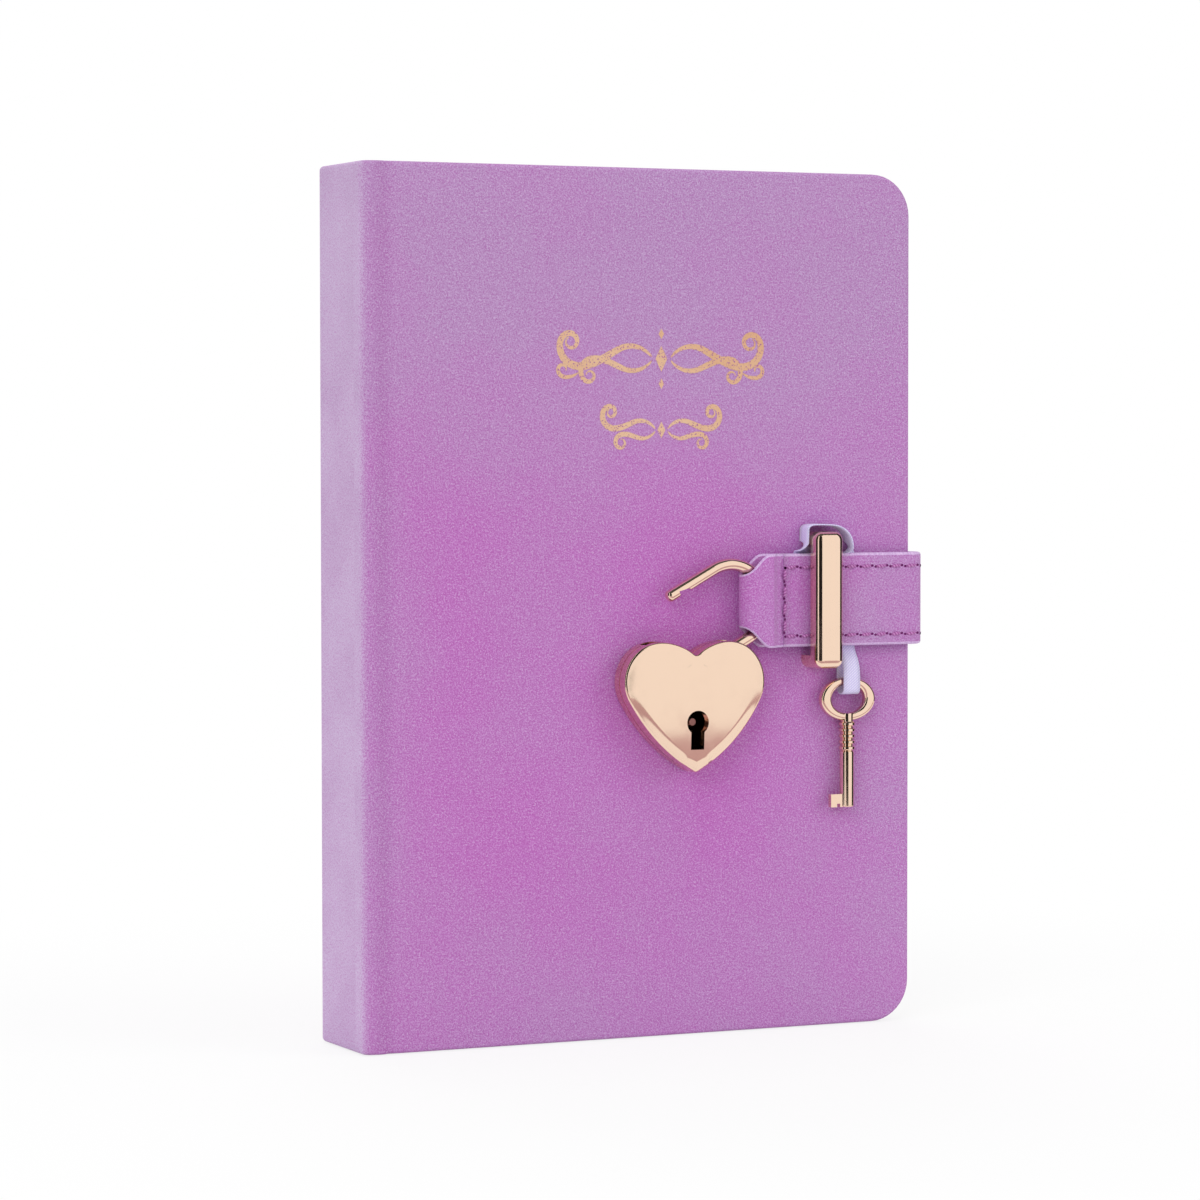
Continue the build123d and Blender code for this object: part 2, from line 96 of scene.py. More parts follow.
def mixColour(tree, share, first, second, mode="MIX"):
    node = addNode(tree, "Mix", data_type="RGBA", blend_type=mode)
    for index, value in ((0, share), (6, first), (7, second)):
        setSocket(tree, node.inputs[index], value)
    return node.outputs[2]


def mixValue(tree, share, first, second):
    node = addNode(tree, "Mix", data_type="FLOAT")
    for index, value in ((0, share), (2, first), (3, second)):
        setSocket(tree, node.inputs[index], value)
    return node.outputs[0]


def mapRange(tree, value, low, high, toLow=0.0, toHigh=1.0):
    node = addNode(tree, "MapRange", {"Value": value, "From Min": low, "From Max": high,
                                      "To Min": toLow, "To Max": toHigh}, interpolation_type="SMOOTHSTEP")
    return node.outputs["Result"]


def newGroup(name, takes, gives):
    group = bpy.data.node_groups.new(name, "ShaderNodeTree")
    for label, kind, value in takes:
        socket = group.interface.new_socket(label, in_out="INPUT", socket_type="NodeSocket" + kind)
        if value is not None:
            socket.default_value = value
    for label in gives:
        group.interface.new_socket(label, in_out="OUTPUT", socket_type="NodeSocketFloat")
    return group, group.nodes.new("NodeGroupInput"), group.nodes.new("NodeGroupOutput")


def useGroup(tree, group, inputs):
    node = tree.nodes.new("ShaderNodeGroup")
    node.node_tree = group
    for name, value in inputs.items():
        setSocket(tree, node.inputs[name], value)
    return node.outputs


def newMaterial(name, fixed):
    material = bpy.data.materials.new(name)
    material.use_nodes = True
    shader = material.node_tree.nodes["Principled BSDF"]
    for label, value in fixed.items():
        shader.inputs[label].default_value = value
    return material, material.node_tree, shader


def bareTree(owner):  # the emptied node tree of a world or a material
    owner.use_nodes = True
    owner.node_tree.nodes.clear()
    return owner.node_tree


def objectPlace(tree):
    return addNode(tree, "TexCoord").outputs["Object"]


def skinPlace(tree):
    return addNode(tree, "UVMap", uv_map="place").outputs["UV"]


def apartFrom(tree, place, centre):
    return addNode(tree, "VectorMath", {0: place, 1: centre}, operation="DISTANCE").outputs["Value"]


def bumpInto(tree, shader, height, strength, distance):
    bump = addNode(tree, "Bump", {"Height": height, "Strength": strength, "Distance": distance})
    tree.links.new(bump.outputs["Normal"], shader.inputs["Normal"])


# effects that several materials share
def makeNapGrain():
    group, source, sink = newGroup("napGrain", [("Vector", "Vector", None), ("Fine", "Float", 2300.0)],
                                   ["Tone", "Cloud", "Height"])
    place, fine = source.outputs["Vector"], source.outputs["Fine"]
    curls = addNode(group, "TexNoise", {"Vector": place, "Scale": fine, "Detail": 3.0, "Roughness": 0.75})
    aslant = addNode(group, "Mapping", {"Vector": place, "Rotation": (0.5, 0.3, 0.65)}).outputs[0]
    fuzz = addNode(group, "TexNoise", {"Vector": aslant, "Scale": mathNode(group, "MULTIPLY", fine, 1.7),
                                       "Detail": 1.0})
    both = mathNode(group, "ADD", mathNode(group, "MULTIPLY", curls.outputs[0], 0.55),
                    mathNode(group, "MULTIPLY", fuzz.outputs[0], 0.45))
    cloud = addNode(group, "TexNoise", {"Vector": place, "Scale": mathNode(group, "MULTIPLY", fine, 0.014),
                                        "Detail": 4.0, "Roughness": 0.55})
    tone = mapRange(group, both, 0.34, 0.66)
    group.links.new(tone, sink.inputs["Tone"])
    group.links.new(mapRange(group, cloud.outputs[0], 0.3, 0.7), sink.inputs["Cloud"])
    group.links.new(tone, sink.inputs["Height"])
    return group


def makePolishMarks():
    group, source, sink = newGroup("polishMarks", [("Vector", "Vector", None), ("Scale", "Float", 160.0)],
                                   ["Smudge", "Height"])
    place, scale = source.outputs["Vector"], source.outputs["Scale"]
    smudge = addNode(group, "TexNoise", {"Vector": place, "Scale": scale, "Detail": 5.0, "Roughness": 0.6})
    ripple = addNode(group, "TexNoise", {"Vector": place, "Scale": mathNode(group, "MULTIPLY", scale, 0.6),
                                         "Detail": 1.0})
    group.links.new(mapRange(group, smudge.outputs[0], 0.35, 0.75), sink.inputs["Smudge"])
    group.links.new(ripple.outputs[0], sink.inputs["Height"])
    return group


def makeThreadWeave():
    group, source, sink = newGroup("threadWeave", [("Vector", "Vector", None), ("Pitch", "Float", 0.0004),
                                                   ("Slant", "Float", 1.0)], ["Thread", "Height"])
    parts = addNode(group, "SeparateXYZ", {0: source.outputs["Vector"]})
    lean = mathNode(group, "ADD", parts.outputs[1],
                    mathNode(group, "MULTIPLY", parts.outputs[0], source.outputs["Slant"]))
    turns = mathNode(group, "MULTIPLY", mathNode(group, "DIVIDE", lean, source.outputs["Pitch"]), 2 * math.pi)
    ribs = mathNode(group, "ADD", mathNode(group, "MULTIPLY", mathNode(group, "SINE", turns), 0.5), 0.5)
    across = mathNode(group, "MULTIPLY", mathNode(group, "DIVIDE", parts.outputs[0], source.outputs["Pitch"]),
                      2 * math.pi)
    ends = mathNode(group, "ADD", mathNode(group, "MULTIPLY", mathNode(group, "SINE", across), 0.2), 0.8)
    thread = mathNode(group, "MULTIPLY", ribs, ends)
    group.links.new(thread, sink.inputs["Thread"])
    group.links.new(thread, sink.inputs["Height"])
    return group


def makePaperGrain():
    group, source, sink = newGroup("paperGrain", [("Vector", "Vector", None), ("Scale", "Float", 900.0)],
                                   ["Tone", "Height"])
    fibre = addNode(group, "TexNoise", {"Vector": source.outputs["Vector"], "Scale": source.outputs["Scale"],
                                        "Detail": 4.0, "Roughness": 0.7})
    cloud = addNode(group, "TexNoise", {"Vector": source.outputs["Vector"], "Scale": 14.0, "Detail": 3.0})
    tone = mathNode(group, "ADD", mathNode(group, "MULTIPLY", fibre.outputs[0], 0.5),
                    mathNode(group, "MULTIPLY", cloud.outputs[0], 0.5))
    group.links.new(tone, sink.inputs["Tone"])
    group.links.new(fibre.outputs[0], sink.inputs["Height"])
    return group


napGrain = makeNapGrain()
polishMarks = makePolishMarks()
threadWeave = makeThreadWeave()
paperGrain = makePaperGrain()

# the skins' look; on the cover the paler spine, top and edges are painted light and sheen (the edges with some
# rubbed wear), and the darkening round the lock and in the joint's groove is painted shade
skinLook = {"deep": fromScreen(192, 110, 190), "pale": fromScreen(184, 143, 191), "fine": 2300.0,
            "dark": (0.9, 0.64, 0.86, 1.0), "light": (1.09, 1.2, 1.12, 1.0), "mottle": 0.12,
            "fleck": fromScreen(214, 184, 220), "fleckFrom": 0.72, "fleckShare": 0.6, "nap": 0.4,
            "edgeWearSheenWidth": 0.045, "spineSheenScale": 2.2, "edgeWearAndSheen": (0.68, 0.34),
            "topFrom": 0.5, "topTo": 0.86, "topPaintedLight": (0.3, 0.98),
            "spineEdgePale": fromScreen(212, 186, 222), "spineEdgeSpan": (-0.0015, 0.0018), "spineEdgeLeast": 0.7,
            "groove": fromScreen(166, 108, 168), "grooveAt": 0.0049, "grooveHalf": 0.0036, "grooveShare": 0.3,
            "lockPlace": (0.084, 0.078, 0.0), "lockShadeReach": 0.042, "lockShadeShare": 0.25,
            "strapFade": (0.62, 1.05), "loopFrom": 0.078, "loopTo": 0.108, "loopDeep": 0.5}


# a cover's skin: the top and the spine paler from painted light and sheen, the edges paler from painted sheen and
# some rubbed wear, so the middle is deeper; painted shade round the lock, a paler band along the rounded spine edge
# and painted shade in the joint's groove
def coverGround(tree, look, place, cloud):
    parts = addNode(tree, "SeparateXYZ", {0: place})
    across, up = parts.outputs[0], parts.outputs[1]
    width, height = book["width"] * mm, book["height"] * mm
    # painted light and sheen: paler towards the spine, the edges and the top; at the edges also some rubbed wear
    sideways = mathNode(tree, "MINIMUM", mathNode(tree, "MULTIPLY", across, look["spineSheenScale"]),
                        mathNode(tree, "SUBTRACT", width, across))
    upright = mathNode(tree, "MINIMUM", up, mathNode(tree, "SUBTRACT", height, up))
    inside = mathNode(tree, "MINIMUM", sideways, upright)
    edge = mapRange(tree, inside, 0.0, look["edgeWearSheenWidth"], *look["edgeWearAndSheen"])
    top = mapRange(tree, up, look["topFrom"] * height, look["topTo"] * height, *look["topPaintedLight"])
    paleShare = mathNode(tree, "MAXIMUM", edge, top)
    # painted shadow and reflection of the padlock: darker round where it hangs, on the back cover too, and it stays
    # when the padlock moves
    apart = apartFrom(tree, place, look["lockPlace"])
    paleShare = mathNode(tree, "SUBTRACT", paleShare, mapRange(tree, apart, 0.0, look["lockShadeReach"], look["lockShadeShare"], 0.0))
    paleShare = mathNode(tree, "ADD", paleShare, mapRange(tree, cloud, 0.0, 1.0, -look["mottle"], look["mottle"]))
    ground = mixColour(tree, paleShare, look["deep"], look["pale"])
    # a paler band along the rounded spine edge, broken up by the cloud
    spineEdgeShare = mathNode(tree, "MULTIPLY", mapRange(tree, across, *look["spineEdgeSpan"], 1.0, 0.0),
                   mapRange(tree, cloud, 0.0, 1.0, 1.0, look["spineEdgeLeast"]))
    ground = mixColour(tree, spineEdgeShare, ground, look["spineEdgePale"])
    # painted shade in the joint's groove
    off = mathNode(tree, "ABSOLUTE", mathNode(tree, "SUBTRACT", across, look["grooveAt"]))
    crease = mapRange(tree, off, 0.0, look["grooveHalf"], look["grooveShare"], 0.0)
    return mixColour(tree, crease, ground, look["groove"])


# the strap's skin: pale, and deeper towards its loop
def strapGround(tree, look, place, cloud):
    across = addNode(tree, "SeparateXYZ", {0: place}).outputs[0]
    towardsLoop = mapRange(tree, across, look["loopFrom"], look["loopTo"], 0.0, look["loopDeep"])
    paleShare = mathNode(tree, "SUBTRACT", mapRange(tree, cloud, 0.0, 1.0, *look["strapFade"]), towardsLoop)
    return mixColour(tree, paleShare, look["deep"], look["pale"])


def suede(name, look, makeGround):
    material, tree, shader = newMaterial(name, {
        "Roughness": 0.85, "Specular IOR Level": 0.2, "Sheen Weight": 0.22, "Sheen Roughness": 0.45,
        "Sheen Tint": fromScreen(236, 214, 240)})
    place = skinPlace(tree)
    nap = useGroup(tree, napGrain, {"Vector": place, "Fine": look["fine"]})
    speck = mixColour(tree, mapRange(tree, nap["Tone"], 0.0, 0.8), look["dark"], look["light"])
    ground = mixColour(tree, 1.0, makeGround(tree, look, place, nap["Cloud"]), speck, "MULTIPLY")
    flecks = mapRange(tree, nap["Tone"], look["fleckFrom"], 1.0, 0.0, look["fleckShare"])
    tree.links.new(mixColour(tree, flecks, ground, look["fleck"]), shader.inputs["Base Color"])
    bumpInto(tree, shader, nap["Height"], look["nap"], 0.0001)
    return material


def cutEdge(name):  # the strap's raw edge, where the pale backing shows
    material, tree, shader = newMaterial(name, {"Roughness": 0.7, "Sheen Weight": 0.2})
    place = skinPlace(tree)
    nap = useGroup(tree, napGrain, {"Vector": place, "Fine": 1900.0})
    tree.links.new(mixColour(tree, nap["Tone"], fromScreen(198, 158, 212), fromScreen(226, 198, 236)),
                   shader.inputs["Base Color"])
    bumpInto(tree, shader, nap["Height"], 0.3, 0.0001)
    return material


heart = {"place": (78.05, 0.0, 60.0), "lobe": (8.6, 20.6), "lobeRound": 9.0, "sideCentre": (-18.63, 35.40),
         "side": 40.0, "rim": 2.6, "valley": (1.0, 4.0), "shallow": (9.0, 19.0), "lobeShare": 0.14, "tip": 6.0,
         "rise": 0.0009}


# how far a place on the padlock's face lies from its edge, as a soft fall towards the edge
def makeHeartPillow():
    group, source, sink = newGroup("heartPillow", [("Vector", "Vector", None)], ["Height"])
    parts = addNode(group, "SeparateXYZ", {0: source.outputs["Vector"]})
    x = mathNode(group, "ABSOLUTE", mathNode(group, "MULTIPLY", parts.outputs[0], 1 / mm))
    z = mathNode(group, "MULTIPLY", parts.outputs[2], 1 / mm)
    spot = addNode(group, "CombineXYZ", {0: x, 1: z}).outputs[0]
    fromSide = mathNode(group, "SUBTRACT", heart["side"], apartFrom(group, spot, (*heart["sideCentre"], 0.0)))
    fromLobe = mathNode(group, "SUBTRACT", heart["lobeRound"], apartFrom(group, spot, (*heart["lobe"], 0.0)))
    lead = [heart["lobe"][k] - heart["sideCentre"][k] for k in (0, 1)]
    risen = mathNode(group, "MULTIPLY", mathNode(group, "SUBTRACT", z, heart["sideCentre"][1]), lead[0])
    passed = mathNode(group, "MULTIPLY", mathNode(group, "SUBTRACT", x, heart["sideCentre"][0]), lead[1])
    onLobe = mathNode(group, "GREATER_THAN", mathNode(group, "SUBTRACT", risen, passed), 0.0)
    reach = mixValue(group, onLobe, fromSide, fromLobe)
    fall = mapRange(group, reach, 0.0, heart["rim"], 1.0, 0.0)
    fall = mathNode(group, "MULTIPLY", fall, mapRange(group, x, *heart["valley"]))
    fall = mathNode(group, "MULTIPLY", fall, mapRange(group, z, *heart["shallow"], 1.0, heart["lobeShare"]))
    low = mathNode(group, "MULTIPLY", mapRange(group, z, 0.0, heart["tip"], 1.0, 0.0),
                   mapRange(group, fromSide, 0.0, heart["rim"], 1.0, 0.0))
    fall = mathNode(group, "MAXIMUM", fall, low)
    group.links.new(mathNode(group, "SUBTRACT", 1.0, fall), sink.inputs["Height"])
    return group


heartPillow = makeHeartPillow()


def polishedMetal(name, colour, low, high, pillowFrom=None):
    material, tree, shader = newMaterial(name, {"Metallic": 1.0, "Base Color": colour})
    place = objectPlace(tree)
    marks = useGroup(tree, polishMarks, {"Vector": place, "Scale": 160.0})
    tree.links.new(mapRange(tree, marks["Smudge"], 0.0, 1.0, low, high), shader.inputs["Roughness"])
    if pillowFrom is None:
        bumpInto(tree, shader, marks["Height"], 0.05, 0.0003)
    else:
        rise = addNode(tree, "VectorMath", {0: place, 1: tuple(pillowFrom)}, operation="SUBTRACT").outputs[0]
        bumpInto(tree, shader, useGroup(tree, heartPillow, {"Vector": rise})["Height"], 1.0, heart["rise"])
    return material


def satin(name, colour, shade, pitch):
    material, tree, shader = newMaterial(name, {"Roughness": 0.42, "Sheen Weight": 0.4, "Sheen Roughness": 0.3,
                                                "Specular IOR Level": 0.5})
    place = skinPlace(tree)
    weave = useGroup(tree, threadWeave, {"Vector": place, "Pitch": pitch, "Slant": 0.8})
    tree.links.new(mixColour(tree, weave["Thread"], shade, colour), shader.inputs["Base Color"])
    bumpInto(tree, shader, weave["Height"], 0.35, 0.00008)
    return material


def cloth(name, colour, shade, pitch):  # sewn bands and lining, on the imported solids
    material, tree, shader = newMaterial(name, {"Roughness": 0.8, "Sheen Weight": 0.2})
    turned = addNode(tree, "Mapping", {"Vector": objectPlace(tree), "Rotation": (math.pi / 2, 0.0, 0.0)})
    weave = useGroup(tree, threadWeave, {"Vector": turned.outputs[0], "Pitch": pitch, "Slant": 0.3})
    tree.links.new(mixColour(tree, weave["Thread"], shade, colour), shader.inputs["Base Color"])
    bumpInto(tree, shader, weave["Height"], 0.4, 0.0001)
    return material


pageLook = {"leaf": 0.00016, "rule": 0.0071, "ruleWidth": 0.045, "ruleShare": 0.55, "ink": fromScreen(176, 150, 190)}


# paper: leaf lines on the cut edges, faint ruling on the page faces
def paperStock(name, colour, shade, ruled):
    material, tree, shader = newMaterial(name, {"Roughness": 0.88, "Specular IOR Level": 0.2})
    place = objectPlace(tree)
    grain = useGroup(tree, paperGrain, {"Vector": place, "Scale": 900.0})
    parts = addNode(tree, "SeparateXYZ", {0: place})
    facing = addNode(tree, "SeparateXYZ", {0: addNode(tree, "NewGeometry").outputs["True Normal"]})
    flat = mapRange(tree, mathNode(tree, "ABSOLUTE", facing.outputs[1]), 0.4, 0.6)
    wander = addNode(tree, "TexNoise", {"Vector": place, "Scale": 40.0, "Detail": 2.0})
    drift = mathNode(tree, "MULTIPLY", wander.outputs[0], 2.0 * pageLook["leaf"])
    layer = mathNode(tree, "ADD", parts.outputs[1], drift)
    stack = addNode(tree, "TexNoise", {"W": mathNode(tree, "DIVIDE", layer, pageLook["leaf"]), "Scale": 1.0,
                                       "Detail": 1.0}, noise_dimensions="1D")
    lines = mapRange(tree, stack.outputs[0], 0.25, 0.75)
    edgeColour = mixColour(tree, lines, shade, colour)
    faceColour = mixColour(tree, grain["Tone"], mixColour(tree, 0.35, colour, shade), colour)
    if ruled:
        step = mathNode(tree, "FRACT", mathNode(tree, "DIVIDE", parts.outputs[2], pageLook["rule"]))
        rule = mathNode(tree, "LESS_THAN", step, pageLook["ruleWidth"])
        printed = mathNode(tree, "MULTIPLY", rule, pageLook["ruleShare"])
        faceColour = mixColour(tree, printed, faceColour, pageLook["ink"])
    tree.links.new(mixColour(tree, flat, edgeColour, faceColour), shader.inputs["Base Color"])
    bumpInto(tree, shader, mixValue(tree, flat, lines, grain["Height"]), 0.3, 0.00012)
    return material


def plainBoard(name, colour, shade):
    material, tree, shader = newMaterial(name, {"Roughness": 0.9})
    grain = useGroup(tree, paperGrain, {"Vector": objectPlace(tree), "Scale": 500.0})
    tree.links.new(mixColour(tree, grain["Tone"], shade, colour), shader.inputs["Base Color"])
    bumpInto(tree, shader, grain["Height"], 0.3, 0.0002)
    return material


def sewingThread(name):
    material, tree, shader = newMaterial(name, {"Roughness": 0.38, "Specular IOR Level": 0.6})
    place = skinPlace(tree)
    twist = useGroup(tree, threadWeave, {"Vector": place, "Pitch": 0.0005, "Slant": 0.7})
    # two tones along the twist; the dark tone is deeper than the thread's own colour, partly painted shade along the
    # stitches
    tree.links.new(mixColour(tree, twist["Thread"], fromScreen(154, 72, 146), fromScreen(212, 148, 208)),
                   shader.inputs["Base Color"])
    bumpInto(tree, shader, twist["Height"], 0.5, 0.0001)
    return material


# painted shade: the dark colour of the discs that stand in for needle holes
def holeShadeFinish(name):
    material, tree, shader = newMaterial(name, {"Roughness": 0.95, "Specular IOR Level": 0.1})
    grain = useGroup(tree, paperGrain, {"Vector": objectPlace(tree), "Scale": 3000.0})
    tree.links.new(mixColour(tree, grain["Tone"], fromScreen(84, 24, 78), fromScreen(126, 54, 118)),
                   shader.inputs["Base Color"])
    return material


def goldFoil(name):  # leaf pressed into the nap, broken by specks of it
    material, tree, shader = newMaterial(name, {"Specular IOR Level": 0.4})
    place = objectPlace(tree)
    nap = useGroup(tree, napGrain, {"Vector": place, "Fine": 1800.0})
    worn = mapRange(tree, nap["Tone"], 0.72, 0.92)
    leaf = mixColour(tree, nap["Cloud"], fromScreen(226, 176, 136), fromScreen(240, 204, 168))
    tree.links.new(mixColour(tree, worn, leaf, fromScreen(176, 104, 160)), shader.inputs["Base Color"])
    tree.links.new(mapRange(tree, worn, 0.0, 1.0, 0.85, 0.0), shader.inputs["Metallic"])
    tree.links.new(mapRange(tree, worn, 0.0, 1.0, 0.36, 0.85), shader.inputs["Roughness"])
    bumpInto(tree, shader, nap["Height"], 0.3, 0.0001)
    return material


coverSkin = suede("coverSkin", skinLook, coverGround)
strapSkin = suede("strapSkin", skinLook, strapGround)
strapEdge = cutEdge("strapEdge")
roseGold = polishedMetal("roseGold", (0.91, 0.68, 0.52, 1.0), 0.08, 0.16)
heartNode = frame["nodes"]["lock_front_shell"]
heartGold = polishedMetal("heartGold", (0.91, 0.68, 0.52, 1.0), 0.12, 0.2,
                          heartNode.matrix_world.inverted() @ onBook(*heart["place"]))
lockSteel = polishedMetal("lockSteel", (0.62, 0.60, 0.60, 1.0), 0.22, 0.38)
# painted shade: the key post in the keyhole is dark red-brown, standing in for the keyhole's shade and rose
# reflection
postShadeSteel = polishedMetal("postShadeSteel", (0.34, 0.17, 0.15, 1.0), 0.25, 0.4)
ribbonSatin = satin("ribbonSatin", fromScreen(238, 234, 255), fromScreen(206, 196, 240), 0.00062)
bandCloth = cloth("bandCloth", fromScreen(236, 226, 240), fromScreen(178, 128, 190), 0.0011)
liningCloth = cloth("liningCloth", fromScreen(232, 226, 210), fromScreen(196, 188, 168), 0.0009)
pagePaper = paperStock("pagePaper", fromScreen(250, 246, 236), fromScreen(214, 204, 188), True)
endPaper = paperStock("endPaper", fromScreen(242, 234, 246), fromScreen(210, 196, 216), False)
greyBoard = plainBoard("greyBoard", fromScreen(178, 170, 158), fromScreen(150, 142, 130))
stitchThread = sewingThread("stitchThread")
holeShade = holeShadeFinish("holeShade")
foilLeaf = goldFoil("foilLeaf")
print("materials ready")

slotFinish = {"cover_skin": coverSkin, "strap": strapSkin, "rose_gold": roseGold, "lock_steel": lockSteel,
              "ribbon": ribbonSatin, "band": bandCloth, "lining": liningCloth, "paper": pagePaper,
              "endpaper": endPaper, "board": greyBoard}
for part in frame["record"]["subparts"]:
    for holder in frame["nodes"][part["node"]].material_slots:
        holder.material = slotFinish[part["material_slot"]]
for node, metal in ((heartNode, heartGold), (frame["nodes"]["key_post"], postShadeSteel)):
    for holder in node.material_slots:
        holder.material = metal


# a mesh piece in place: each face takes the material that marks gives, each vertex its place on the flat skin
def newPiece(name, points, faces, materials, marks=None, places=None):
    mesh = bpy.data.meshes.new(name)
    mesh.from_pydata([tuple(p) for p in points], [], faces)
    for material in materials:
        mesh.materials.append(material)
    if marks:
        mesh.polygons.foreach_set("material_index", marks)
    mesh.polygons.foreach_set("use_smooth", [True] * len(mesh.polygons))
    if places:
        layer = mesh.uv_layers.new(name="place")
        for loop in mesh.loops:
            layer.data[loop.index].uv = places[loop.vertex_index]
    mesh.update()
    piece = bpy.data.objects.new(name, mesh)
    bpy.context.collection.objects.link(piece)
    return piece


case = {"edgeRound": 1.0, "innerRound": 0.25, "turnIn": 7.0, "seam": 5.0, "creaseAt": 5.6, "creaseWidth": 2.0,
        "creaseDepth": 0.3, "spineWall": 2.6, "thinning": (2.0, 4.2), "jointWall": 1.1, "boardFrom": (5.2, 6.4),
        "rows": 16, "outerRings": 5, "innerRings": 3}


def wallAt(x):  # thickness of the case, from the spine over the joint to the cover
    atSpine = case["spineWall"] + (case["jointWall"] - case["spineWall"]) * smoothStep(*case["thinning"], x)
    return atSpine + (book["cover"] - case["jointWall"]) * smoothStep(*case["boardFrom"], x)


# columns of the case from a seam on the spine to the fore-edge: place in plan, run, inward, reach, place on the skin
def caseColumns(seam):
    r, columns = book["spineRound"], []

    def add(x, d, run, inward, low=None, out=(0.0, -1.0), skin=0.0):
        wall = wallAt(x)
        edge = min(case["edgeRound"], 0.45 * wall)
        columns.append({"x": x, "d": d, "run": run, "inward": inward, "low": edge if low is None else low,
                        "out": out, "skin": skin, "wall": wall, "edge": edge})

    turn = r - r * math.pi / 2
    flatSteps = max(2, round((seam - r) / 1.5))
    for k in range(flatSteps):
        d = seam + (r - seam) * k / flatSteps
        add(0.0, d, (0.0, -1.0), (1.0, 0.0), skin=turn - (d - r))
    for k in range(8):
        a = math.pi / 2 * k / 8
        add(r - r * math.cos(a), r - r * math.sin(a), (math.sin(a), -math.cos(a)), (math.cos(a), math.sin(a)),
            skin=turn + r * a)
    bend = book["width"] - book["corner"]
    stations = [r + 0.4 * k for k in range(20)] + [11.0 + (bend - 11.0) * k / 16 for k in range(17)]
    for x in stations:
        dip = case["creaseDepth"] * math.exp(-((x - case["creaseAt"]) / case["creaseWidth"]) ** 2)
        add(x, dip, (1.0, 0.0), (0.0, 1.0), skin=x)
    inner = book["corner"] - case["edgeRound"]
    for k in range(1, 11):
        a = math.pi / 2 * k / 10
        x = bend + inner * math.sin(a)
        add(x, 0.0, (1.0, 0.0), (0.0, 1.0), low=book["corner"] - inner * math.cos(a),
            out=(math.sin(a), -math.cos(a)), skin=x)
    return columns


def caseShell(name, seam, toPlan):
    columns, rows, height = caseColumns(seam), case["rows"], book["height"]
    points, places, faces, rim = [], [], [], []
    for column in columns:
        for j in range(rows + 1):
            z = column["low"] + (height - 2 * column["low"]) * j / rows
            points.append((column["x"], column["d"], z))
            places.append((column["skin"], z))
    for i in range(len(columns) - 1):
        for j in range(rows):
            a = i * (rows + 1) + j
            faces.append((a, a + rows + 1, a + rows + 2, a + 1))
    last = len(columns) - 1
    for i, column in enumerate(columns):
        rim.append((i * (rows + 1), column, column["out"]))
    for j in range(1, rows):
        rim.append((last * (rows + 1) + j, columns[last], (1.0, 0.0)))
    for i in range(last, -1, -1):
        along, up = columns[i]["out"]
        rim.append((i * (rows + 1) + rows, columns[i], (along, -up)))
    previous = [entry[0] for entry in rim]
    outer, inner = case["outerRings"], case["innerRings"]
    for ring in range(outer + inner + 1):
        current = []
        for vertex, column, (along, up) in rim:
            e, wall, r = column["edge"], column["wall"], case["innerRound"]
            if ring < outer:
                a = math.pi / 2 * (ring + 1) / outer
                outward, depth, run = e * math.sin(a), e * (1 - math.cos(a)), e * a
            elif ring < outer + inner:
                a = math.pi / 2 * (ring - outer) / (inner - 1)
                outward, depth = e - r * (1 - math.cos(a)), wall - r + r * math.sin(a)
                run = e * 1.57 + wall - e - r + r * a
            else:
                outward, depth, run = e - case["turnIn"], wall, e * 0.57 + wall + case["turnIn"]
            x, d, z = points[vertex]
            tx, ty = column["run"]
            nx, ny = column["inward"]
            points.append((x + tx * along * outward + nx * depth, d + ty * along * outward + ny * depth,
                           z + up * outward))
            u, v = places[vertex]
            places.append((u + along * run, v + up * run))
            current.append(len(points) - 1)
        for k in range(len(rim) - 1):
            faces.append((previous[k + 1], previous[k], current[k], current[k + 1]))
        previous = current
    mirrored = toPlan(1.0) < toPlan(0.0)
    if mirrored:
        faces = [tuple(reversed(face)) for face in faces]
    placed = [onBook(x, toPlan(d), z) for x, d, z in points]
    return newPiece(name, placed, faces, [coverSkin], places=[(u * mm, v * mm) for u, v in places])


caseFront = caseShell("caseFront", case["seam"], lambda d: d)
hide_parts("front_cover_skin")
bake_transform(caseFront)
caseBack = caseShell("caseBack", book["thickness"] - case["seam"], lambda d: book["thickness"] - d)
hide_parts("back_cover_skin", "spine_skin")
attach(caseBack, "book")
print("case done")

strap = {"low": 87.7, "high": 109.0, "ply": 1.2, "lift": 1.0, "tailEnd": 94.5, "tailRound": 4.0, "inside": 136.75,
         "bendFront": 1.5, "bendBack": 1.2, "frontEnd": 101.9, "edgeRound": 0.6}


